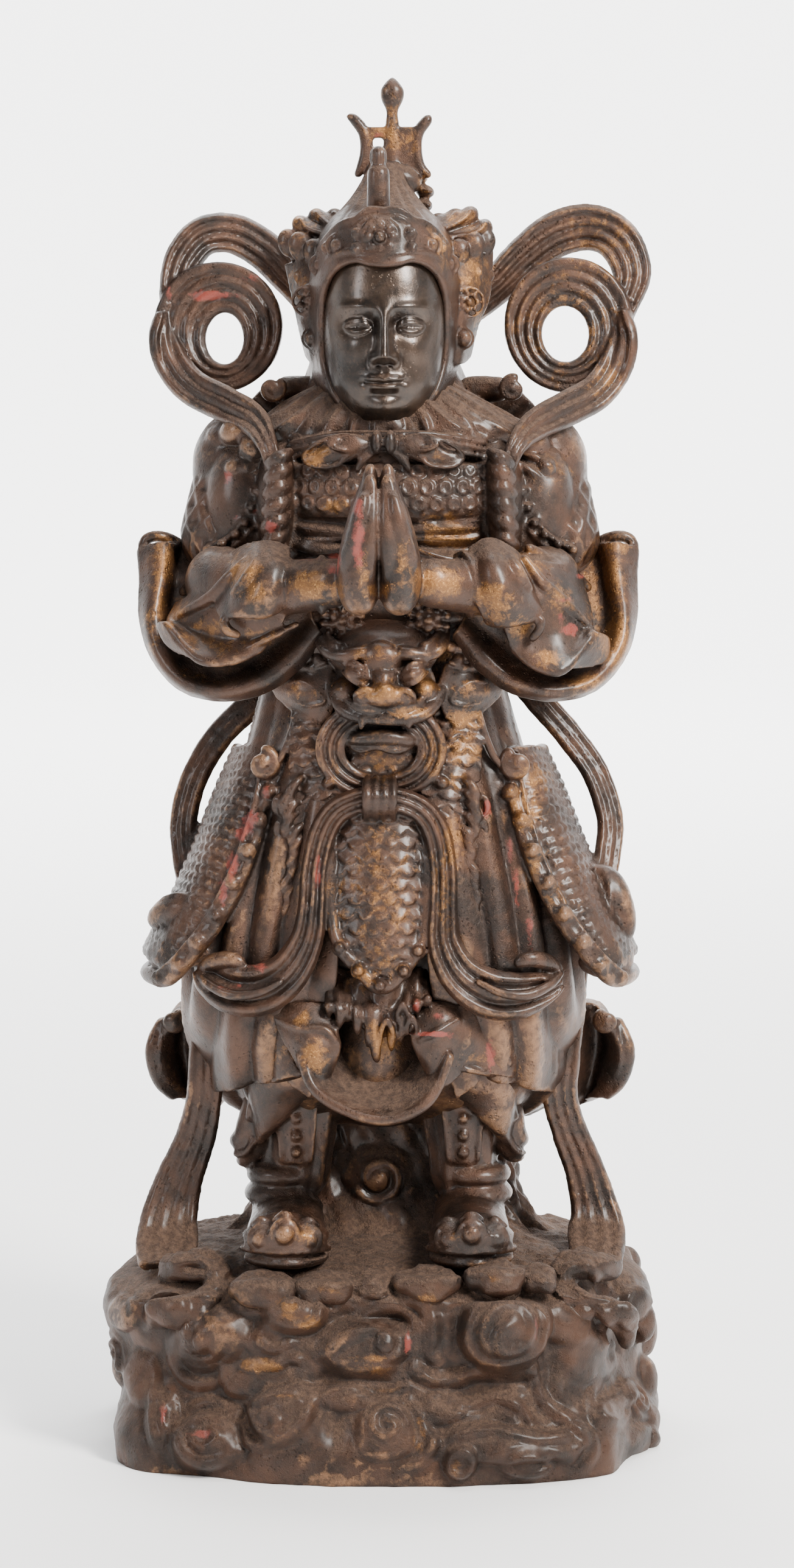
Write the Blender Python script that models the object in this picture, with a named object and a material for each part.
"""A cast bronze guardian general standing in prayer on a cloud and rock base, one casting."""

import math

import bmesh
import bpy
import numpy as np
from mathutils import Matrix, Vector

STATUE_HEIGHT = 0.600  # metres, underside of the base to the tip of the crest
BASE_WIDTH = 0.236
BASE_DEPTH = 0.192
BASE_HEIGHT = 0.088  # the crown of the base, under the figure
DRAWN_STATUE = 600.0  # the forms below are drawn in millimetres for a statue and a base of these sizes
DRAWN_BASE = (236.0, 192.0, 88.0)
GRAIN = STATUE_HEIGHT / 375  # size of the cells that fuse the forms into one casting
FACES = 9400  # triangles left on the finished solid
BRONZE = (0.115, 0.075, 0.05, 1.0)

FRONT = np.array([0.0, -1.0, 0.0])


def along(stations, steps):
    """Rows read from a smooth curve through the stations."""
    rows = np.array(stations, float)
    before, after = 2 * rows[0] - rows[1], 2 * rows[-1] - rows[-2]
    full = np.vstack([before, rows, after])
    place = np.linspace(0, len(rows) - 1, steps)
    first = np.minimum(place.astype(int), len(rows) - 2)
    t = (place - first)[:, None]
    a, b, c, d = (full[first + k] for k in range(4))
    return 0.5 * (2 * b + (c - a) * t + (2 * a - 5 * b + 4 * c - d) * t**2 + (3 * b - a - 3 * c + d) * t**3)


def unit(vectors):
    return vectors / np.maximum(np.linalg.norm(vectors, axis=-1, keepdims=True), 1e-9)


def skin(clay, table):
    """A closed form: the table's columns run round it, and its first and last rows close its ends."""
    rows, columns = table.shape[:2]
    made = bmesh.ops.create_grid(clay, x_segments=columns, y_segments=rows - 1, size=0.5)["verts"]
    for vert in made:
        column = round((vert.co.x + 0.5) * columns) % columns
        vert.co = table[round((vert.co.y + 0.5) * (rows - 1)), column]
    bmesh.ops.remove_doubles(clay, verts=made, dist=1e-4)


def closed_ends(table):
    """Adds a row at each end where the form shrinks to a point."""
    first, last = table[0].mean(axis=0), table[-1].mean(axis=0)
    columns = table.shape[1]
    return np.vstack([[np.tile(first, (columns, 1))], table, [np.tile(last, (columns, 1))]])


def tube(clay, stations, sides=12, steps=None, across=(1, 0, 0), blunt=True):
    """A round form along stations of x, y, z, radius and, for an oval one, its other radius."""
    steps = steps or 4 * len(stations)
    rows = along(stations, steps)
    centre, radius = rows[:, :3], np.abs(rows[:, 3:4])
    other = np.abs(rows[:, 4:5]) if rows.shape[1] > 4 else radius
    tangent = unit(np.gradient(centre, axis=0))
    hint = np.array(across, float)
    side = unit(hint - tangent * (tangent @ hint)[:, None])
    rise = np.cross(tangent, side)
    if blunt:
        run = np.concatenate([[0], np.cumsum(np.linalg.norm(np.diff(centre, axis=0), axis=1))])
        left = np.minimum(run, run[-1] - run)[:, None] / np.maximum(radius, 1e-6)
        cap = np.sqrt(np.clip(1 - (1 - np.clip(left, 0, 1)) ** 2, 0.04, 1))
        radius, other = radius * cap, other * cap
    turn = np.linspace(0, 2 * math.pi, sides, endpoint=False)
    table = (
        centre[:, None]
        + side[:, None] * (radius * np.cos(turn))[:, :, None]
        + rise[:, None] * (other * np.sin(turn))[:, :, None]
    )
    skin(clay, closed_ends(table))


def ribbon(clay, stations, grooves=3, thick=3.4, relief=1.0, across=8, steps=None):
    """A flat scarf along stations of x, y, z, half width and tilt from the picture plane in degrees."""
    steps = steps or 5 * len(stations)
    rows = along(stations, steps)
    centre, half, tilt = rows[:, :3], np.abs(rows[:, 3:4]), np.radians(rows[:, 4:5])
    tangent = unit(np.gradient(centre, axis=0))
    level = unit(np.cross(tangent, -FRONT))
    facing = np.cross(tangent, level)
    side = level * np.cos(tilt) + facing * np.sin(tilt)
    rise = facing * np.cos(tilt) - level * np.sin(tilt)
    u = np.linspace(-1, 1, across * 2 + 1)
    ridge = thick / 2 + relief * (np.abs(np.sin(u * grooves * math.pi / 2 + grooves * math.pi / 2)) - 0.5)
    ridge = ridge * np.clip(half / 6, 0.4, 1)
    front = centre[:, None] + side[:, None] * (half * u)[:, :, None] + rise[:, None] * ridge[:, :, None]
    back = centre[:, None] + side[:, None] * (half * u)[:, :, None] - rise[:, None] * ridge[:, :, None]
    skin(clay, closed_ends(np.concatenate([front, back[:, ::-1]], axis=1)))


def surface(net, u, v):
    """Points of the smooth surface through a net of points, u along each row and v from row to row."""
    rows = [along(row, len(u)) for row in net]
    stacked = np.array(rows).reshape(len(net), -1)
    return along(stacked, len(v)).reshape(len(v), len(u), 3)


def sheet(clay, net, thick=3.5, across=16, steps=16, fold=None):
    """A cast cloth or plate through a net of points; fold pushes each spot along its normal."""
    u, v = np.linspace(0, 1, across), np.linspace(0, 1, steps)
    middle = surface(net, u, v)
    normal = unit(np.cross(np.gradient(middle, axis=1), np.gradient(middle, axis=0)))
    if fold is not None:
        middle = middle + normal * fold(u[None, :], v[:, None])[:, :, None]
        normal = unit(np.cross(np.gradient(middle, axis=1), np.gradient(middle, axis=0)))
    front, back = middle + normal * thick / 2, middle - normal * thick / 2
    slab = np.concatenate([front, back[:, ::-1]], axis=1)
    seam = np.concatenate([middle, middle[:, ::-1]], axis=1)
    skin(clay, np.vstack([seam[:1], slab, seam[-1:]]))


def ring_points(stations, angles, steps, fold=None):
    """Level rings from x, y, z, half width, half depth and squareness; angle 0 faces the front."""
    rows = along(stations, steps)
    x, y, z, wide, deep, power = (rows[:, k : k + 1] for k in range(6))
    sine, cosine = np.sin(angles)[None, :], np.cos(angles)[None, :]
    a = np.sign(sine) * np.abs(sine) ** (2 / power)
    b = np.sign(cosine) * np.abs(cosine) ** (2 / power)
    push = 0 if fold is None else fold(angles[None, :], z)
    return np.stack([x + (wide + push) * a, y - (deep + push) * b, z + 0 * a], axis=2)


def loft(clay, stations, sides=48, steps=32, fold=None):
    angles = np.linspace(-math.pi, math.pi, sides, endpoint=False)
    skin(clay, closed_ends(ring_points(stations, angles, steps, fold)))


def ball(clay, centre, radii, turn=(0, 0, 0), detail=3):
    """An ellipsoid; turn is in degrees about X, Y and Z."""
    place = Matrix.Translation(centre)
    for axis, angle in zip("XYZ", turn):
        place = place @ Matrix.Rotation(math.radians(angle), 4, axis)
    bmesh.ops.create_icosphere(clay, subdivisions=detail, radius=1,
                               matrix=place @ Matrix.Diagonal((*radii, 1)))


def wave(value, start, stop):
    """Rises smoothly from 0 to 1 between start and stop."""
    t = np.clip((value - start) / (stop - start), 0, 1)
    return t * t * (3 - 2 * t)


BASE = [
    (-3, -8, -12, 115, 97, 3.4),
    (-3, -8, 0, 117, 98, 3.4),
    (-2, -8, 14, 118, 97, 3.2),
    (-3, -7, 30, 112, 92, 3.0),
    (-4, -6, 46, 112, 88, 3.0),
    (-5, -5, 60, 117, 88, 3.0),
    (-4, -4, 72, 113, 85, 2.8),
    (-3, -1, 80, 101, 76, 2.6),
    (-2, 3, 85, 76, 58, 2.4),
    (0, 8, 88, 40, 32, 2.0),
    (0, 10, 90, 8, 8, 2.0),
]


def base_swell(angle, z):
    """How the rock bulges: broad lobes at the foot, tighter cloud heads near the rim."""
    low = 3.4 * np.cos(4 * angle - 1.2) + 2.2 * np.cos(7 * angle + 0.6 + z / 40)
    high = 2.0 * np.cos(11 * angle + z / 18) * wave(z, 20, 60)
    return (low + high) * (1 - wave(z, 70, 88))


def base_point(x, z, lift=0.0, back=False):
    """The spot on the base's wall at this x and height, pushed out by lift."""
    row = np.interp(z, [s[2] for s in BASE], np.arange(len(BASE)))
    low, share = int(row), row - int(row)
    high = min(low + 1, len(BASE) - 1)
    cx, cy, _, wide, deep, power = (np.array(BASE[low]) * (1 - share) + np.array(BASE[high]) * share)
    reach = min(abs(x - cx) / wide, 0.999) ** (power / 2)
    angle = math.copysign(math.asin(reach), x - cx)
    if back:
        angle = math.copysign(math.pi, angle) - angle
    push = float(base_swell(np.array(angle), np.array(z))) + lift
    sine, cosine = math.sin(angle), math.cos(angle)
    return np.array(
        [
            cx + (wide + push) * math.copysign(abs(sine) ** (2 / power), sine),
            cy - (deep + push) * math.copysign(abs(cosine) ** (2 / power), cosine),
            z,
        ]
    )


def scroll(clay, x, z, size, turns=1.5, sense=1, start=60.0, back=False):
    """A cloud curl: a coil of rounded rope winding in to a bead, standing on the base's wall."""
    stations = []
    for t in np.linspace(0, 1, 14):
        angle = math.radians(start) + sense * t * turns * 2 * math.pi
        reach = size * (1 - 0.75 * t)
        spot = base_point(x + reach * math.cos(angle), z + reach * math.sin(angle), 2 + 4 * t, back)
        stations.append((*spot, size * (0.3 - 0.08 * t)))
    tube(clay, stations, sides=8, steps=40)
    ball(clay, base_point(x, z, 0, back), (size * 0.85, size * 0.6, size * 0.85), detail=2)
    ball(clay, base_point(x, z, size * 0.45, back), (size * 0.26,) * 3, detail=2)


def cloud_base(clay):
    loft(clay, BASE, sides=96, steps=44, fold=base_swell)
    curls = [(-77, 59, 14, 1), (-94, 67, 9, -1), (-43, 72, 10, 1), (-1, 58, 11, -1), (48, 62, 18, -1),
             (-49, 24, 12, -1), (-78, 14, 14, 1), (-99, 20, 9, 1), (-3, 22, 11, -1), (30, 8, 9, 1),
             (56, 12, 11, -1), (96, 18, 9, 1), (105, 54, 9, -1), (86, 66, 9, 1)]
    for x, z, size, sense in curls:
        scroll(clay, x, z, size, sense=sense)
    for x, z, size, sense in [(-80, 50, 15, 1), (-30, 30, 14, -1), (20, 55, 14, 1), (70, 34, 16, -1),
                              (-62, 18, 11, 1)]:
        scroll(clay, x, z, size, sense=sense, back=True)
    bands = [
        [(-30, 68), (-14, 74), (0, 76), (10, 72), (12, 58), (16, 46), (30, 42), (48, 44), (62, 52)],
        [(60, 50), (66, 36), (76, 24), (86, 16), (80, 8), (62, 4), (42, 6)],
        [(-38, 66), (-30, 58), (-34, 48), (-50, 44), (-62, 50)],
        [(-26, 50), (-14, 58), (-4, 46), (-14, 38), (-28, 40)],
        [(-92, 8), (-88, 24), (-92, 42), (-88, 56)],
        [(-66, 34), (-52, 38), (-38, 36), (-30, 26), (-40, 14), (-56, 10)],
        [(-16, 30), (-4, 36), (10, 30), (12, 16), (4, 8), (-12, 8), (-24, 12)],
    ]
    for band in bands:
        stations = [(*base_point(x, z, 1.0), 4.6) for x, z in band]
        tube(clay, stations, sides=8, steps=6 * len(stations))
    for x, y, wide in [(-55, -78, 15), (-31, -80, 13), (18, -80, 13), (44, -80, 15)]:
        ball(clay, (x, y, 82), (wide, 9, 6), (28, 0, 0))
        ball(clay, (x, y - 1, 86), (wide * 0.6, 6, 3.5), (28, 0, 0))


def stump(clay):
    """The rough tree trunk that backs the legs, with the knot that shows between them."""

    def bark(angle, z):
        return 2.2 * np.cos(9 * angle + z / 9) + 1.4 * np.cos(17 * angle - z / 6)

    rings = [
        (0, 16, 80, 78, 46, 2.2),
        (0, 18, 92, 64, 34, 2.2),
        (0, 20, 110, 56, 26, 2.4),
        (1, 20, 135, 57, 25, 2.4),
        (1, 18, 165, 55, 26, 2.2),
    ]
    loft(clay, rings, sides=64, steps=28, fold=bark)
    tube(clay, [(-5 + 14 * math.cos(a), -6, 112 + 14 * math.sin(a), 3.6) for a in np.linspace(0, 6.28, 12)],
         sides=8)
    ball(clay, (-5, -2, 112), (10, 7, 10))


def boot(clay, x, side):
    tube(clay, [(x, -8, 97, 14, 12), (x, -24, 98, 16, 12), (x, -42, 97, 17, 12), (x, -58, 96, 17, 12),
                (x, -72, 95, 13, 9)], sides=16)
    tube(clay, [(x, -6, 87, 15, 3), (x, -40, 87, 18, 3), (x, -66, 87, 17, 3), (x, -78, 88, 11, 3)], sides=12)
    for lift, wide in ((0, 15.5), (8, 14)):
        loft(clay, [(x - side, -26, 107 + lift, wide, wide + 1, 2),
                    (x - side, -26, 114 + lift, wide, wide + 1, 2)], 24, 5)
    for k in (-1, 0, 1):
        ball(clay, (x + 9 * k, -70 + 3 * abs(k), 100 - 2 * abs(k)), (4, 4, 4), detail=2)
    sheet(clay, [[(x - 15, -56, 104), (x, -66, 110), (x + 15, -56, 104)],
                 [(x - 16, -66, 96), (x, -76, 99), (x + 16, -66, 96)]], thick=3, across=12, steps=6)


def leg(clay, x, side):
    """A shin in its greave: a tube with a studded panel down the front."""
    tube(clay, [(x, -24, 104, 13), (x, -24, 125, 15), (x - side, -22, 150, 18), (x, -16, 185, 22)], sides=16)
    sheet(clay, [[(x - 8, -38, 160), (x, -42, 160), (x + 8, -38, 160)],
                 [(x - 6, -36, 122), (x, -40, 122), (x + 6, -36, 122)]], thick=3, across=8, steps=10)
    for z in (127, 138, 149):
        ball(clay, (x, -42, z), (2.4, 2.4, 2.4), detail=2)


def leg_drape(clay, side):
    """The trouser hem that flares out from each knee to a curled tip."""
    s = side
    net = [
        [(s * 18, -34, 178), (s * 34, -46, 176), (s * 52, -44, 176), (s * 66, -30, 178), (s * 72, -8, 178)],
        [(s * 15, -38, 160), (s * 30, -50, 158), (s * 48, -50, 160), (s * 62, -36, 162), (s * 68, -12, 164)],
        [(s * 20, -32, 150), (s * 34, -44, 152), (s * 48, -44, 148), (s * 58, -34, 142), (s * 60, -10, 142)],
        [(s * 22, -26, 146), (s * 38, -38, 154), (s * 50, -38, 138), (s * 60, -30, 130), (s * 60, -4, 128)],
    ]
    sheet(clay, net, thick=6, across=22, steps=18)
    flare = [(s * 50, -26, 168, 12, 14), (s * 53, -24, 150, 10, 14), (s * 56, -22, 137, 9, 13),
             (s * 60, -20, 128, 8, 11), (s * 66, -18, 123, 5, 8)]
    tube(clay, flare, sides=12)


def robe_fold(angle, z):
    deep = 4.6 * wave(-z, -310, -170) + 0.6
    return deep * (0.7 * np.cos(12 * angle + 0.5) + 0.5 * np.cos(19 * angle + 1.3))


def robe(clay):
    rings = [
        (0, 10, 138, 62, 34, 2.3),
        (0, 6, 147, 76, 45, 2.4),
        (0, 2, 158, 82, 54, 2.4),
        (0, -1, 170, 83, 56, 2.4),
        (0, -2, 200, 81, 54, 2.3),
        (0, -2, 250, 72, 50, 2.2),
        (0, -1, 300, 60, 45, 2.1),
        (0, 0, 335, 50, 38, 2.1),
    ]
    loft(clay, rings, sides=120, steps=44, fold=robe_fold)
    for s in (-1, 1):
        for x, y in ((42, -46), (52, -42), (61, -36)):
            fall = [(s * (x - 5), y - 1, 296, 4), (s * x, y - 4, 262, 5), (s * (x + 4), y - 7, 228, 5.4),
                    (s * (x + 7), y - 6, 196, 5)]
            tube(clay, fall, sides=8)
    for x, y in ((-44, 46), (-24, 52), (-2, 55), (22, 52), (44, 46)):
        tube(clay, [(x * 0.8, y - 9, 290, 3), (x * 0.9, y - 2, 240, 5), (x, y, 190, 6.5),
                    (x * 1.05, y - 1, 150, 6)], sides=10)


def apron_hem(clay):
    """The dished front hem that hangs between the legs like an upturned bowl."""
    net = [
        [(-40, -50, 192), (-22, -54, 192), (-4, -52, 192), (14, -54, 192), (32, -50, 192)],
        [(-38, -54, 180), (-22, -56, 178), (-4, -48, 176), (14, -56, 178), (30, -54, 180)],
        [(-36, -56, 174), (-20, -50, 168), (-4, -42, 164), (12, -50, 168), (26, -56, 174)],
        [(-35, -62, 172), (-20, -60, 158), (-4, -52, 153), (12, -60, 158), (24, -62, 172)],
        [(-37, -68, 174), (-21, -70, 154), (-4, -68, 147), (13, -70, 154), (26, -68, 174)],
    ]
    sheet(clay, net, thick=5, across=20, steps=18)
    for s, x in ((-1, -38), (1, 28)):
        tube(clay, [(x + s * 6, -52, 196, 5), (x + s * 2, -60, 184, 6), (x, -66, 174, 6),
                    (x - s * 5, -68, 163, 4)], sides=8)
        tube(clay, [(x + s * 20, -50, 194, 5), (x + s * 15, -55, 178, 6), (x + s * 12, -56, 164, 4)], sides=8)
        tube(clay, [(x + s * 34, -44, 190, 5), (x + s * 30, -47, 172, 6), (x + s * 26, -46, 156, 4)], sides=8)


def tasset(clay, side):
    """A side flap of scale armour, curling out at its foot."""
    s = side
    net = [
        [(s * 52, -36, 306), (s * 60, -26, 306), (s * 66, -12, 304), (s * 66, 6, 304)],
        [(s * 54, -44, 284), (s * 66, -36, 286), (s * 75, -16, 282), (s * 76, 6, 282)],
        [(s * 62, -50, 258), (s * 76, -42, 262), (s * 84, -20, 260), (s * 84, 6, 260)],
        [(s * 74, -54, 234), (s * 86, -46, 238), (s * 94, -22, 238), (s * 92, 6, 238)],
        [(s * 86, -54, 218), (s * 96, -46, 222), (s * 102, -24, 224), (s * 98, 4, 222)],
        [(s * 92, -52, 209), (s * 101, -44, 212), (s * 107, -24, 214), (s * 102, 4, 210)],
    ]
    sheet(clay, net, thick=6, across=18, steps=28)
    edge = [(s * 51, -38, 304, 3), (s * 54, -47, 284, 3.2), (s * 62, -53, 258, 3.4),
            (s * 74, -57, 234, 3.6), (s * 87, -57, 217, 3.8), (s * 97, -50, 207, 3.8),
            (s * 106, -30, 207, 3.8), (s * 102, 0, 207, 3.5)]
    tube(clay, edge, sides=8, steps=40)
    for x, y, z in [(52, -50, 288), (58, -54, 269), (67, -58, 249), (78, -61, 231), (90, -59, 215),
                    (101, -50, 207)]:
        ball(clay, (s * x, y, z), (3, 3, 3), detail=2)
    coil = [(s * (55 + 6 * math.cos(a)), -44, 300 + 6 * math.sin(a), 2.6) for a in np.linspace(-2.5, 3.2, 10)]
    tube(clay, coil, sides=8, across=(0, 1, 0))
    ball(clay, (s * 55, -43, 300), (4, 4, 4), detail=2)
    lip = [(s * 98, -26, 250), (s * 106, -26, 240), (s * 109, -22, 226), (s * 104, -16, 216)]
    ribbon(clay, [(*p, 9, s * 50) for p in lip], grooves=2)


def hanging_panel(clay):
    """The long oval of scales on the front, in its beaded frame."""
    net = [
        [(-22, -50, 276), (-12, -56, 278), (-3, -58, 279), (6, -56, 278), (16, -50, 276)],
        [(-26, -52, 258), (-14, -59, 258), (-3, -62, 258), (8, -59, 258), (20, -52, 258)],
        [(-26, -54, 234), (-14, -61, 234), (-3, -64, 234), (8, -61, 234), (20, -54, 234)],
        [(-23, -56, 214), (-13, -62, 212), (-3, -65, 210), (7, -62, 212), (17, -56, 214)],
        [(-10, -58, 203), (-7, -62, 200), (-3, -64, 198), (1, -62, 200), (4, -58, 203)],
    ]
    sheet(clay, net, thick=6, across=16, steps=24)
    rim = [(-23, -56, 268, 2.6), (-27, -57, 250, 2.8), (-27, -59, 230, 3), (-23, -61, 214, 3.4),
           (-14, -64, 206, 3.6), (-4, -67, 199, 3.8), (6, -64, 206, 3.6), (17, -61, 214, 3.4),
           (21, -59, 230, 3), (21, -57, 250, 2.8), (17, -56, 268, 2.6)]
    tube(clay, rim, sides=8, steps=50)
    for k in range(9):
        x = -22 + 4.6 * k
        tube(clay, [(x, -54, 204, 3), (x + 1, -60, 190, 3.6), (x + 2, -62, 176 - 5 * math.sin(k * 1.7),
                                                               1.5)], sides=7)


def front_ribbon(clay):
    """The tied scarf that loops over the panel and sweeps out to curled ends."""
    left = [(-4, -64, 284, 6, 0), (-16, -63, 284, 6, 0), (-27, -60, 276, 6, 0), (-32, -58, 262, 6, 0),
            (-35, -58, 245, 6.2, 0), (-36, -60, 228, 6.5, 0), (-41, -62, 213, 7.5, 0),
            (-52, -64, 203, 9, 0), (-66, -62, 200, 10.5, 0), (-78, -58, 203, 10, 10),
            (-84, -54, 208, 6, 30)]
    right = [(-2, -64, 284, 6, 0), (9, -63, 284, 6, 0), (18, -60, 276, 6, 0), (22, -58, 262, 6, 0),
             (22, -58, 245, 6.2, 0), (21, -60, 228, 6.5, 0), (25, -62, 212, 7.5, 0), (35, -64, 200, 9, 0),
             (49, -63, 195, 10, 0), (62, -60, 197, 10, 10), (72, -56, 201, 7, 25), (75, -54, 202, 4, 30)]
    for side in (left, right):
        ribbon(clay, side, grooves=3, thick=5, steps=70)
    for x in (-10, -5, 0):
        tube(clay, [(x, -62, 290, 2), (x, -69, 286, 2.6), (x, -70, 281, 2.6), (x, -66, 276, 2)], sides=8)


def belt_mask(clay):
    """The beast's head on the belt, holding a double ring in its jaw."""
    for wide, thick in ((25.5, 3.0), (19.5, 2.6)):
        hoop = [(-4 + wide * math.cos(a), -56, 308 + wide * 0.84 * math.sin(a), thick)
                for a in np.linspace(0, 6.3, 24)]
        tube(clay, hoop, sides=8, steps=60, across=(0, 1, 0), blunt=False)
    ball(clay, (-4, -46, 308), (24, 10, 20))
    ball(clay, (-4, -54, 313), (16, 7, 5))
    ball(clay, (-3, -46, 334), (27, 16, 18))
    ball(clay, (-2, -56, 346), (15, 10, 9))
    ball(clay, (-3, -64, 330), (13, 8, 6))
    for s in (-1, 1):
        ball(clay, (-3 + s * 8, -69, 329), (4.6, 4.2, 4.2), detail=2)
        ball(clay, (-3 + s * 15, -60, 338), (6, 5, 4.6), detail=2)
        ball(clay, (-3 + s * 24, -48, 328), (9, 9, 9))
        tube(clay, [(-3 + s * 8, -62, 343, 3.5), (-3 + s * 18, -60, 347, 3.6), (-3 + s * 28, -52, 353, 2)],
             sides=8)
        ball(clay, (-3 + s * 38, -36, 331), (15, 9, 9), (0, s * 14, 0))
        ball(clay, (-3 + s * 38, -44, 331), (5, 5, 5), detail=2)
        for x, z in ((30, 354), (36, 345), (20, 364)):
            ball(clay, (-3 + s * x, -44, z), (6, 6, 6), detail=2)
    jaw = [(-26, -56, 326, 3), (-20, -64, 321, 3.4), (-3, -70, 319, 3.6), (14, -64, 321, 3.4),
           (20, -56, 326, 3)]
    tube(clay, jaw, sides=8, across=(0, 0, 1))


def fur_fringe(clay):
    """The ragged pelt edge on each side of the front."""
    for s, x0 in ((-1, -38), (1, 32)):
        for k in range(9):
            z = 292 - 11 * k
            x = x0 + s * (2 + 4 * math.sin(0.35 * k))
            tube(clay, [(x - s * 3, -50, z, 3.4), (x + s * 3, -54, z - 5, 3.4),
                        (x + s * 9, -53, z - 10, 1.2)], sides=7)


def torso(clay):
    rings = [
        (0, 0, 326, 50, 36, 2.1),
        (0, -2, 345, 49, 36, 2.2),
        (0, -4, 370, 52, 38, 2.3),
        (0, -5, 396, 56, 40, 2.4),
        (0, -4, 420, 60, 40, 2.4),
        (0, 0, 436, 64, 36, 2.3),
        (0, 2, 448, 52, 30, 2.2),
    ]
    loft(clay, rings, sides=64, steps=30)
    for z, swell, lean in ((412, 3.6, 3), (404, 3.2, -2), (396, 2.6, 2), (386, 3.4, -2)):
        arc = [(52 * math.sin(a), -4 - 44 * math.cos(a), z + lean * math.sin(2 * a), swell)
               for a in np.linspace(-1.25, 1.25, 9)]
        tube(clay, arc, sides=8, across=(0, 0, 1))


def neck_scarf(clay):
    """The cloth laid round the neck and over the shoulders."""

    def drape(angle, z):
        return 1.5 * np.cos(14 * angle + z / 7) * wave(z, 438, 452)

    rings = [
        (0, 0, 436, 64, 40, 2.3),
        (0, -1, 444, 65, 43, 2.3),
        (-1, -4, 452, 52, 39, 2.2),
        (-2, -7, 460, 38, 32, 2.1),
        (-2, -8, 466, 28, 26, 2.0),
        (-2, -8, 472, 22, 22, 2.0),
    ]
    loft(clay, rings, sides=80, steps=26, fold=drape)
    for s, x in ((-1, -52), (1, 54)):
        tube(clay, [(x - s * 26, 4, 466, 7), (x - s * 12, 2, 466, 8), (x, -2, 464, 8)], sides=12,
             across=(0, 0, 1))
        coil = [(x + (7.5 - 0.8 * k) * math.cos(s * 0.9 * k + 1.5), -10,
                 463 + (7.5 - 0.8 * k) * math.sin(s * 0.9 * k + 1.5), 3) for k in range(8)]
        tube(clay, coil, sides=8, across=(0, 1, 0))


def bow(clay):
    """The sash tied across the top of the breastplate."""
    tube(clay, [(-40, -38, 437, 3), (-20, -44, 440, 3.6), (-3, -47, 440, 4), (16, -44, 440, 3.6),
                (38, -38, 437, 3)], sides=8, across=(0, 0, 1))
    for s in (-1, 1):
        loop = [(-3 + s * 3, -48, 438, 3), (-3 + s * 14, -50, 440, 5), (-3 + s * 24, -49, 436, 6),
                (-3 + s * 32, -46, 431, 5), (-3 + s * 36, -43, 428, 2)]
        tube(clay, loop, sides=10, across=(0, 0, 1))
        ball(clay, (-3 + s * 3.5, -51, 438), (3, 3, 5), detail=2)


def upper_arm(clay, side):
    s = side
    tube(clay, [(s * 56, 0, 444, 17), (s * 66, -1, 436, 20), (s * 70, -4, 418, 20), (s * 74, -9, 398, 19),
                (s * 78, -15, 380, 18)], sides=20)
    for x, y, z, r in [(70, -14, 440, 9), (76, -8, 430, 9), (66, -20, 428, 8), (78, 4, 438, 9),
                       (62, -16, 446, 8), (80, -2, 420, 7), (73, -20, 418, 6)]:
        ball(clay, (s * x, y, z), (r, r, r * 0.9), detail=2)
    ruffle = [(s * (71 + 19 * math.sin(a)), -6 - 21 * math.cos(a), 419 - 8 * math.sin(a)
               + 2 * math.cos(5 * a), 3.4) for a in np.linspace(-1.2, 3.0, 18)]
    tube(clay, ruffle, sides=8, across=(0, 0, 1))
    hem = [(s * 58, -24, 414, 2.6), (s * 62, -27, 402, 2.8), (s * 68, -29, 393, 3), (s * 78, -26, 384, 3),
           (s * 89, -14, 376, 3)]
    tube(clay, hem, sides=8, across=(0, 1, 0))
    for x, y, z in [(59, -27, 410), (64, -30, 399), (72, -30, 390), (82, -24, 381)]:
        ball(clay, (s * x, y, z), (2.8, 2.8, 2.8), detail=2)


def forearm(clay, side):
    s, x0 = side, -3
    tube(clay, [(x0 + s * 78, -16, 380, 17, 16), (x0 + s * 66, -38, 377, 17, 15),
                (x0 + s * 46, -58, 380, 13, 12), (x0 + s * 28, -73, 382, 11, 10.5),
                (x0 + s * 12, -83, 383, 10, 9)], sides=16, across=(0, 0, 1))
    for x, y, r in ((44, -60, 14.5), (20, -79, 11.5), (14, -83, 11)):
        tube(clay, [(x0 + s * (x + 1.4), y + 1.2, 381, r), (x0 + s * (x - 1.4), y - 1.2, 382, r)], sides=16,
             steps=6, across=(0, 0, 1))


def sleeve_drape(clay, side):
    """The wide cuff of the inner sleeve, thrown over the forearm and turned up at its corner."""
    s, x0 = side, -2
    net = [
        [(x0 + s * 46, -56, 396), (x0 + s * 58, -46, 396), (x0 + s * 72, -32, 394), (x0 + s * 84, -18, 388)],
        [(x0 + s * 42, -70, 386), (x0 + s * 58, -62, 386), (x0 + s * 76, -46, 384), (x0 + s * 90, -26, 376)],
        [(x0 + s * 44, -72, 370), (x0 + s * 60, -68, 368), (x0 + s * 78, -54, 366), (x0 + s * 92, -34, 366)],
        [(x0 + s * 52, -66, 356), (x0 + s * 66, -66, 353), (x0 + s * 82, -56, 352), (x0 + s * 94, -40, 360)],
        [(x0 + s * 60, -58, 349), (x0 + s * 70, -62, 346), (x0 + s * 84, -58, 347), (x0 + s * 99, -46, 363)],
    ]

    def folds(u, v):
        return 2.6 * np.sin(3.2 * math.pi * u + 2.2 * v) * wave(v, 0, 0.4)

    sheet(clay, net, thick=6, across=24, steps=22, fold=folds)
    tube(clay, [(x0 + s * 50, -66, 388, 8), (x0 + s * 64, -58, 384, 9), (x0 + s * 80, -44, 376, 9),
                (x0 + s * 92, -36, 364, 4)], sides=10, across=(0, 0, 1))
    tube(clay, [(x0 + s * 46, -66, 374, 7), (x0 + s * 60, -60, 362, 8), (x0 + s * 74, -52, 356, 6)], sides=10,
         across=(0, 0, 1))


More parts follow.
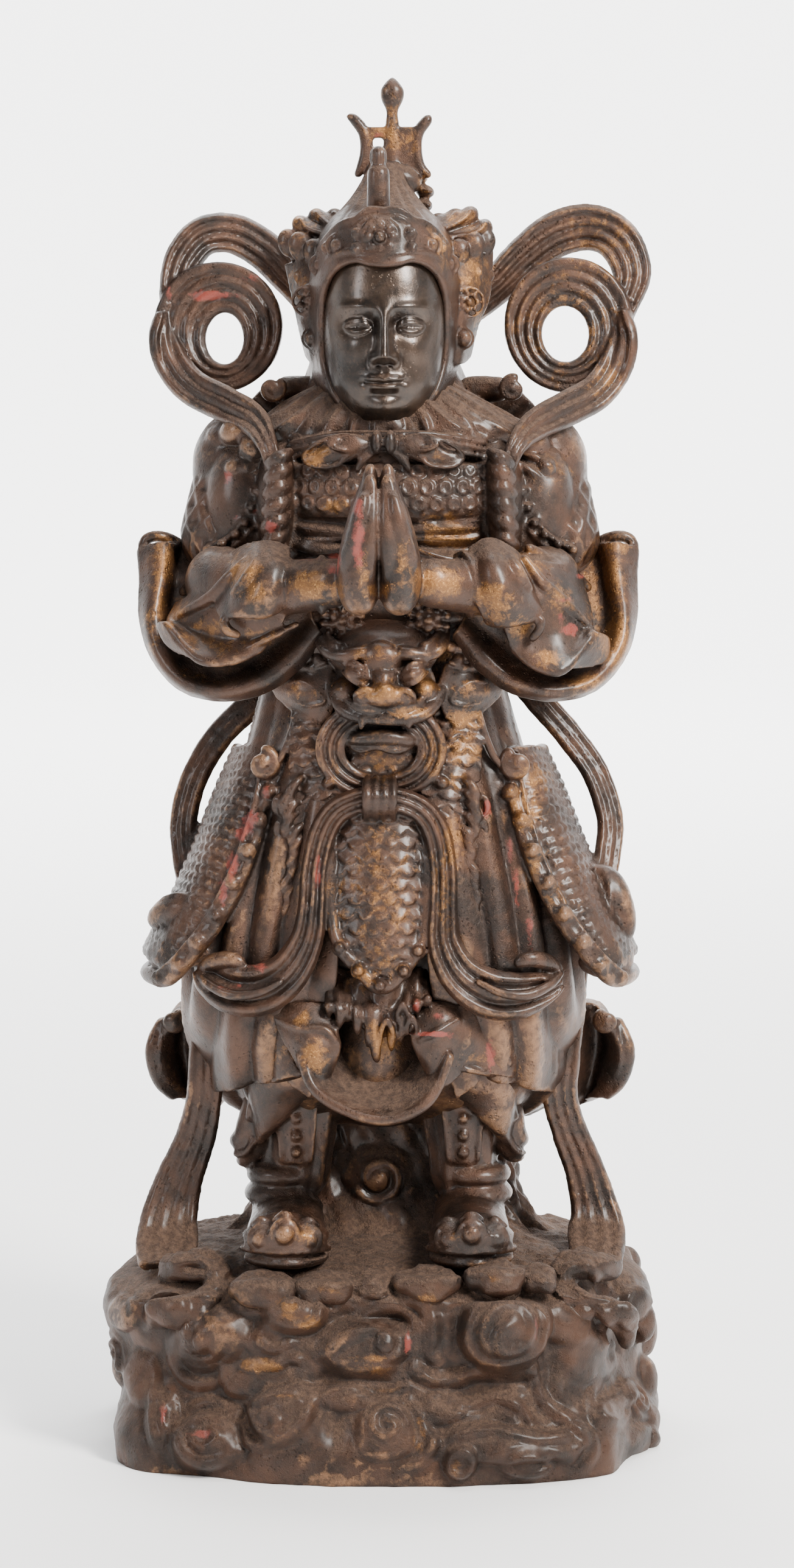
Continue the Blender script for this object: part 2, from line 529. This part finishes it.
def outer_sleeve(clay, side):
    """The great hanging sleeve that opens like a bell round the elbow and curls up behind the arm."""
    s, x0 = side, -1
    root = [(30, -44, 366), (45, -38, 360), (60, -28, 354), (73, -16, 352), (82, -4, 357), (86, 6, 366),
            (86, 14, 376), (84, 18, 384), (79, 20, 390)]
    belly = [(30, -50, 357), (46, -42, 345), (62, -30, 335), (80, -12, 331), (96, 4, 342), (105, 12, 360),
             (103, 18, 376), (99, 22, 388), (90, 24, 396)]
    lip = [(30, -62, 358), (45, -60, 345), (61, -52, 335), (78, -40, 331), (92, -26, 336), (104, -12, 354),
           (105, -4, 374), (103, 4, 390), (94, 10, 397)]
    rim = [(29, -67, 359), (45, -66, 344), (61, -59, 333), (78, -47, 329), (93, -32, 334), (106, -18, 352),
           (107, -9, 374), (109, -2, 391), (97, 4, 399)]
    net = [[(x0 + s * x, y, z) for x, y, z in row] for row in (root, belly, lip, rim)]
    sheet(clay, net, thick=5, across=44, steps=18)
    tube(clay, [(*p, 3.6) for p in net[-1]], sides=8, steps=50, across=(0, 1, 0))


def hand(clay, side):
    """One palm of the pair pressed together, four fingers up and the thumb along the front."""
    s, x0 = side, -4.8
    palm = [(x0 + s * 8, -86, 372, 8, 12), (x0 + s * 7.6, -88, 384, 8, 14),
            (x0 + s * 6.2, -90, 398, 6.4, 14), (x0 + s * 4.6, -91, 410, 4.8, 12),
            (x0 + s * 3.4, -91, 420, 3.4, 8)]
    tube(clay, palm, sides=16)
    for reach, y in ((429, -100), (434, -94), (433, -87), (427, -80)):
        finger = [(x0 + s * 6, y + 1, 398, 4.4), (x0 + s * 4.6, y, 412, 4),
                  (x0 + s * 3.6, y + 0.5, reach - 6, 3.4), (x0 + s * 3, y + 1, reach, 2.6)]
        tube(clay, finger, sides=9)
    thumb = [(x0 + s * 10, -95, 378, 6), (x0 + s * 9, -102, 390, 5.4), (x0 + s * 6.6, -105, 402, 4.6),
             (x0 + s * 4.6, -104, 412, 3.6)]
    tube(clay, thumb, sides=9)


def head(clay):
    """A calm, full face on even proportions: eyes half way down, nose and mouth below by thirds."""
    cx = -2.5
    skull = [
        (cx, -30, 449, 12, 17, 2.2),
        (cx, -26, 455, 19, 25, 2.3),
        (cx, -23, 464, 24, 30, 2.4),
        (cx, -21, 475, 26.5, 32, 2.3),
        (cx, -20, 486, 27.5, 34, 2.3),
        (cx, -18, 497, 28, 36, 2.3),
        (cx, -16, 509, 28.5, 37, 2.2),
        (cx, -14, 521, 28, 36, 2.1),
        (cx, -10, 536, 22, 28, 2.0),
    ]
    loft(clay, skull, sides=48, steps=32)
    tube(clay, [(cx, -52, 496, 3), (cx, -56, 487, 4), (cx, -60, 478, 5)], sides=10)
    for s in (-1, 1):
        ball(clay, (cx + s * 5, -56, 476), (3.6, 3.6, 3), detail=2)
        ball(clay, (cx + s * 11.5, -48, 489), (6.6, 6, 3.6), detail=3)
        ball(clay, (cx + s * 14, -43, 474), (10, 10, 9), detail=3)
        brow = [(cx + s * 4, -54, 496, 2), (cx + s * 12, -53, 499, 2.4), (cx + s * 21, -44, 496, 1.6)]
        tube(clay, brow, sides=8, across=(0, 0, 1))
    for z, out in ((466.5, -55.5), (462, -55)):
        tube(clay, [(cx - 8, -50, z, 1.8), (cx, out + 2, z + 0.5, 2.6), (cx + 8, -50, z, 1.8)], sides=8,
             across=(0, 0, 1))
    tube(clay, [(cx, -8, 440, 20), (cx, -12, 460, 20), (cx, -12, 476, 22)], sides=16)


def helmet(clay):
    cx = -2.5
    bowl = [
        (cx, -8, 508, 33, 40, 2.0),
        (cx, -8, 522, 34, 41, 2.0),
        (cx, -8, 534, 31, 37, 2.0),
        (cx, -7, 541, 25, 30, 2.0),
        (cx, -5, 548, 17, 21, 2.0),
        (cx, -3, 555, 10, 13, 2.0),
        (cx, -2, 561, 5, 6, 2.0),
    ]
    loft(clay, bowl, sides=48, steps=28)
    brow = [(33, 8, 497), (34, -10, 506), (29, -32, 515), (17, -49, 519), (0, -56, 517)]
    crown = [(36, 8, 522), (37, -10, 529), (31, -32, 533), (18, -45, 538), (0, -50, 542)]
    front = [(cx - x, y, z) for x, y, z in brow] + [(cx + x, y, z) for x, y, z in brow[-2::-1]]
    above = [(cx - x, y, z) for x, y, z in crown] + [(cx + x, y, z) for x, y, z in crown[-2::-1]]
    sheet(clay, [above, front], thick=5, across=40, steps=10)
    tube(clay, [(*p, 2.4) for p in front], sides=8, steps=50, across=(0, 0, 1))
    tube(clay, [(*p, 2.2) for p in above], sides=8, steps=50, across=(0, 0, 1))
    ball(clay, (cx, -54, 529), (5, 3.4, 5), detail=2)
    for k in range(8):
        a = k * math.pi / 4
        ball(clay, (cx + 7.5 * math.cos(a), -52, 529 + 7.5 * math.sin(a)), (2.4, 2.4, 2.4), detail=2)
    for s in (-1, 1):
        for x, y, z in ((22, -44, 527), (31, -31, 521)):
            ball(clay, (cx + s * x, y, z), (3.4, 3.4, 3.4), detail=2)
    tube(clay, [(-5, -34, 538, 6), (-5, -38, 550, 5.4), (-5, -38, 563, 5.2)], sides=12)
    tube(clay, [(-5, -38, 560, 4), (-5, -38, 570, 3.6)], sides=10)


def curtain(clay):
    """The quilted neck guard that falls from the helmet and spreads over the shoulders."""

    def pleats(angle, z):
        return 1.8 * np.cos(11 * angle) * wave(-z, -490, -450)

    rings = [
        (-2.5, 2, 520, 34, 36, 2.0),
        (-2.5, 4, 500, 33, 34, 2.0),
        (-2.5, 7, 480, 34, 32, 2.1),
        (-2, 10, 464, 39, 33, 2.2),
        (-1, 11, 452, 48, 35, 2.3),
        (0, 10, 442, 56, 37, 2.3),
        (0, 8, 432, 54, 34, 2.3),
    ]
    loft(clay, rings, sides=72, steps=30, fold=pleats)


def ear_flap(clay, side):
    s, cx = side, -2.5
    net = [
        [(cx + s * 31, -6, 520), (cx + s * 38, -4, 520), (cx + s * 43, 4, 522)],
        [(cx + s * 31, -14, 506), (cx + s * 38, -12, 506), (cx + s * 42, 0, 504)],
        [(cx + s * 30, -18, 490), (cx + s * 37, -14, 490), (cx + s * 39, -2, 490)],
        [(cx + s * 29, -18, 477), (cx + s * 33, -16, 476), (cx + s * 35, -6, 478)],
    ]
    sheet(clay, net, thick=5, across=10, steps=16)
    ball(clay, (cx + s * 36, -17, 502), (5, 3.4, 5), detail=2)
    ball(clay, (cx + s * 34, -18, 484), (4.4, 4.4, 4.4), detail=2)
    for x, z, r in ((46, 547, 5), (42, 541, 5), (36, 538, 5)):
        tube(clay, [(cx + s * 22, -4, 534, 5), (cx + s * (x - 8), 0, z - 5, 5.5), (cx + s * x, 2, z, r)],
             sides=10, across=(0, 1, 0))
    for x, z in ((42, 527), (44, 520)):
        tube(clay, [(cx + s * 33, 0, z - 8, 5), (cx + s * x, 2, z, 4)], sides=10, across=(0, 1, 0))


def crest(clay):
    """The flat pronged crest that stands on the crown."""
    x0, y = 1, 0
    tube(clay, [(x0, y, 556, 3, 2.6), (x0, y, 570, 4, 2.6), (x0, y, 582, 3.4, 2.8), (x0, y, 588, 5.4, 4),
                (x0, y, 594, 5.6, 4), (x0, y, 600, 2, 2)], sides=12)
    sheet(clay, [[(-11, y, 578), (1, y, 579), (14, y, 578)], [(-12, y, 568), (1, y, 568), (14, y, 568)],
                 [(-9, y, 558), (1, y, 556), (14, y, 558)]], thick=4.4, across=12, steps=8)
    for s, tip, foot in ((-1, -19, -14), (1, 18, 17)):
        x = 12 if s > 0 else -11
        tube(clay, [(tip, y, 583, 1.6), (x + s * 3, y, 578, 3.6), (x + s * 1, y, 568, 3.6),
                    (foot, y, 557, 2)], sides=8)
    for z, x in ((558, 13), (551, 16), (545, 15)):
        ball(clay, (x, y + 4, z), (4.6, 4, 3.4), detail=2)


def coil(clay, outer, inner, y, start, turn, grooves=4):
    """A scarf wound into a wide flat ring between two ellipses of centre x, z and radii."""
    stations = []
    for a in np.radians(np.linspace(start, start + turn, 17)):
        out = np.array([outer[0] + outer[2] * math.cos(a), outer[1] + outer[3] * math.sin(a)])
        near = np.array([inner[0] + inner[2] * math.cos(a), inner[1] + inner[3] * math.sin(a)])
        x, z = (out + near) / 2
        stations.append((x, y + 3 * math.sin(a), z, np.linalg.norm(out - near) / 2, 0))
    ribbon(clay, stations, grooves=grooves, thick=6, relief=1.3, across=10, steps=72)


def scarves(clay):
    """The heavenly scarf: arcs behind the head, coils beside it, and falls down both sides."""
    behind_left = [(-26, 20, 492, 7, 10), (-36, 20, 503, 8, 10), (-46, 20, 514, 8.5, 0),
                   (-57, 22, 525, 9, 0), (-70, 22, 532, 9, 0), (-83, 20, 531, 9, 0), (-92, 16, 521, 8.5, 0),
                   (-96, 12, 507, 7, 0), (-96, 10, 494, 6, 0)]
    behind_right = [(22, 20, 488, 7, 10), (34, 20, 498, 8, 10), (48, 20, 509, 8.5, 0),
                    (61, 22, 522, 9.5, 0), (75, 24, 532, 10.5, 0), (90, 24, 535, 10.5, 0),
                    (102, 20, 529, 10, 0), (108, 16, 515, 9, 0), (104, 12, 500, 7, 0), (100, 10, 488, 6, 0)]
    for arc in (behind_left, behind_right):
        ribbon(clay, arc, thick=6, relief=1.2, steps=60)
    coil(clay, (-76.5, 490, 28.5, 29), (-73.5, 485, 8.5, 11.5), 8, 150, -360)
    coil(clay, (79.5, 491, 28.5, 30), (78, 487, 10.5, 12.5), 8, 30, 360)
    strand_left = [(-48, -40, 408, 6, 0), (-50, -43, 424, 6, 0), (-53, -40, 438, 7, 0),
                   (-60, -28, 449, 7.5, 0), (-73, -16, 456, 8, 0), (-87, -6, 463, 8, 0),
                   (-96, 0, 473, 8, 0), (-101, 3, 485, 7, 35), (-101, 6, 496, 4, 60)]
    strand_right = [(50, -40, 408, 6, 0), (50, -43, 424, 6, 0), (55, -40, 438, 7, 0),
                    (64, -28, 447, 7.5, 0), (78, -16, 454, 8, 0), (91, -6, 461, 8, 0), (99, 0, 471, 8, 0),
                    (104, 3, 485, 7, -35), (103, 6, 497, 4, -60)]
    for strand in (strand_left, strand_right):
        ribbon(clay, strand, thick=6, relief=1.2, steps=60)
    for s in (-1, 1):
        for k in range(5):
            z = 426 - 9 * k
            x = 51 + 0.6 * k
            tube(clay, [(s * (x - 5), -44, z + 3, 4), (s * (x + 5), -46, z - 4, 4.4)], sides=8,
                 across=(0, 1, 0))
    side_left = [(-50, 14, 338, 6, 20), (-60, 12, 324, 6.5, 20), (-76, 10, 308, 6.5, 20),
                 (-87, 6, 290, 6.5, 20), (-92, 2, 271, 6.5, 20), (-91, -4, 256, 6.5, 20),
                 (-88, -12, 242, 6.5, 20)]
    side_right = [(54, 14, 338, 6, -20), (66, 12, 324, 6.5, -20), (80, 10, 308, 6.5, -20),
                  (92, 6, 291, 6.5, -20), (98, 2, 272, 6.5, -20), (97, -4, 257, 6.5, -20),
                  (94, -12, 243, 6.5, -20)]
    fall_left = [(-79, -20, 208, 6, 0), (-80, -22, 188, 7, 0), (-81, -24, 168, 8, 0), (-82, -24, 150, 8, 0),
                 (-86, -22, 132, 9, 0), (-93, -22, 114, 10, 0), (-97, -26, 99, 12, 0),
                 (-98, -34, 88, 14, 0), (-98, -44, 80, 12, 0)]
    fall_right = [(82, -20, 206, 6, 0), (79, -22, 188, 7, 0), (76, -24, 168, 8, 0), (75, -24, 152, 8, 0),
                  (79, -22, 136, 8, 0), (86, -22, 118, 9, 0), (90, -24, 103, 10, 0), (91, -30, 92, 13, 0),
                  (90, -42, 82, 12, 0)]
    for run in (side_left, side_right, fall_left, fall_right):
        ribbon(clay, run, thick=5, steps=56)
    for s in (-1, 1):
        curl = [(s * 98, -48, 82, 5), (s * 86, -58, 84, 5), (s * 76, -60, 82, 5), (s * 80, -66, 76, 4.5),
                (s * 94, -68, 74, 5), (s * 102, -62, 66, 4)]
        tube(clay, curl, sides=10, across=(0, 0, 1))
        lobe = [
            [(s * 76, 18, 186), (s * 92, 22, 184), (s * 103, 20, 178)],
            [(s * 76, 16, 166), (s * 94, 24, 166), (s * 106, 18, 164)],
            [(s * 74, 16, 148), (s * 90, 24, 146), (s * 101, 20, 148)],
        ]
        sheet(clay, lobe, thick=8, across=12, steps=14)


def back_dress(clay):
    """What hangs behind: the scarf across the shoulders, the belt, a flap of scales and the sash."""
    shawl = [(x, 34 + 10 * math.cos(x / 40), 424 + 0.009 * x * x, 11, 0) for x in np.linspace(-62, 62, 9)]
    ribbon(clay, shawl, thick=6, relief=1.2, steps=40)
    belt = [(54 * math.sin(a), -1 + 42 * math.cos(a), 345 + 3 * math.cos(a), 5.5, 4.5)
            for a in np.linspace(-1.75, 1.75, 15)]
    tube(clay, belt, sides=10, steps=50, across=(0, 0, 1))
    flap = [
        [(-44, 30, 340), (-22, 40, 340), (0, 43, 340), (22, 40, 340), (44, 30, 340)],
        [(-58, 36, 300), (-28, 50, 298), (0, 54, 298), (28, 50, 298), (58, 36, 300)],
        [(-66, 42, 268), (-34, 58, 262), (0, 62, 260), (34, 58, 262), (66, 42, 268)],
        [(-72, 46, 250), (-36, 64, 238), (0, 69, 232), (36, 64, 238), (72, 46, 250)],
    ]
    sheet(clay, flap, thick=6, across=30, steps=24)
    tube(clay, [(*p, 4) for p in flap[-1]], sides=8, steps=30, across=(0, 0, 1))
    ball(clay, (0, 50, 345), (9, 7, 9))
    for s in (-1, 1):
        loop = [(0, 50, 345, 5, 0), (s * 14, 54, 356, 7, 0), (s * 26, 51, 346, 7, 0),
                (s * 16, 54, 336, 6, 0), (0, 52, 343, 4, 0)]
        ribbon(clay, loop, thick=6, steps=30)
        tail = [(s * 3, 52, 340, 6, 0), (s * 8, 60, 300, 8, 0), (s * 12, 68, 260, 9, 0),
                (s * 13, 72, 228, 10, 0), (s * 18, 68, 206, 11, 0)]
        ribbon(clay, tail, thick=6, steps=40)


def figure(clay):
    stump(clay)
    robe(clay)
    apron_hem(clay)
    hanging_panel(clay)
    front_ribbon(clay)
    belt_mask(clay)
    fur_fringe(clay)
    torso(clay)
    neck_scarf(clay)
    bow(clay)
    head(clay)
    helmet(clay)
    curtain(clay)
    crest(clay)
    scarves(clay)
    back_dress(clay)
    boot(clay, -45, -1)
    boot(clay, 35, 1)
    leg(clay, -41, -1)
    leg(clay, 32, 1)
    for side in (-1, 1):
        leg_drape(clay, side)
        tasset(clay, side)
        upper_arm(clay, side)
        forearm(clay, side)
        sleeve_drape(clay, side)
        outer_sleeve(clay, side)
        hand(clay, side)
        ear_flap(clay, side)


def drawn_forms():
    """All the forms laid over each other, brought from the drawn millimetres to metres."""
    mesh = bpy.data.meshes.new("forms")
    base = bmesh.new()
    cloud_base(base)
    wide, deep, high = (size / drawn for size, drawn in zip((BASE_WIDTH, BASE_DEPTH, BASE_HEIGHT),
                                                            DRAWN_BASE))
    base.transform(Matrix.Diagonal((wide, deep, high, 1)))
    base.to_mesh(mesh)
    base.free()
    share = (STATUE_HEIGHT - BASE_HEIGHT) / (DRAWN_STATUE - DRAWN_BASE[2])
    stand = Matrix.Translation((0, 0, BASE_HEIGHT)) @ Matrix.Scale(share,
                                                                   4) @ Matrix.Translation((0, 0,
                                                                                            -DRAWN_BASE[2]))
    clay = bmesh.new()
    figure(clay)
    clay.transform(stand)
    clay.from_mesh(mesh)
    clay.to_mesh(mesh)
    clay.free()
    return mesh


def evaluated(obj):
    """The object's mesh as its modifiers leave it."""
    bpy.context.view_layer.update()
    graph = bpy.context.evaluated_depsgraph_get()
    return bpy.data.meshes.new_from_object(obj.evaluated_get(graph))


def outer_skin(solid):
    """Drops the walls of pockets shut in between the forms, so that the largest skin is left."""
    loose, skins = set(solid.verts), []
    while loose:
        front = [loose.pop()]
        found = list(front)
        while front:
            near = {edge.other_vert(vert) for vert in front for edge in vert.link_edges} & loose
            loose -= near
            front = list(near)
            found += front
        skins.append(found)
    skins.sort(key=len)
    bmesh.ops.delete(solid, geom=[vert for found in skins[:-1] for vert in found], context="VERTS")


def cast(mesh):
    """Fuses the forms into one skin, thins it to the face budget and cuts the foot flat."""
    statue = bpy.data.objects.new("guardian_statue", mesh)
    bpy.context.scene.collection.objects.link(statue)
    fuse = statue.modifiers.new("fuse", "REMESH")
    fuse.mode = "VOXEL"
    fuse.voxel_size = GRAIN
    quads = len(evaluated(statue).polygons)
    thin = statue.modifiers.new("thin", "DECIMATE")
    thin.ratio = FACES / (2 * quads)
    solid = bmesh.new()
    solid.from_mesh(evaluated(statue))
    statue.modifiers.clear()
    outer_skin(solid)
    everything = solid.verts[:] + solid.edges[:] + solid.faces[:]
    bmesh.ops.bisect_plane(solid, geom=everything, plane_co=(0, 0, 0), plane_no=(0, 0, -1), clear_outer=True)
    bmesh.ops.holes_fill(solid, edges=[edge for edge in solid.edges if edge.is_boundary])
    bmesh.ops.triangulate(solid, faces=solid.faces[:])
    solid.to_mesh(mesh)
    solid.free()
    mesh.shade_smooth()
    return statue


def bronze():
    material = bpy.data.materials.new("aged bronze")
    material.use_nodes = True
    shader = material.node_tree.nodes["Principled BSDF"]
    shader.inputs["Base Color"].default_value = BRONZE
    shader.inputs["Metallic"].default_value = 0.6
    shader.inputs["Roughness"].default_value = 0.55
    return material


for old in list(bpy.data.objects):
    bpy.data.objects.remove(old)
guardian = cast(drawn_forms())
guardian.data.materials.append(bronze())
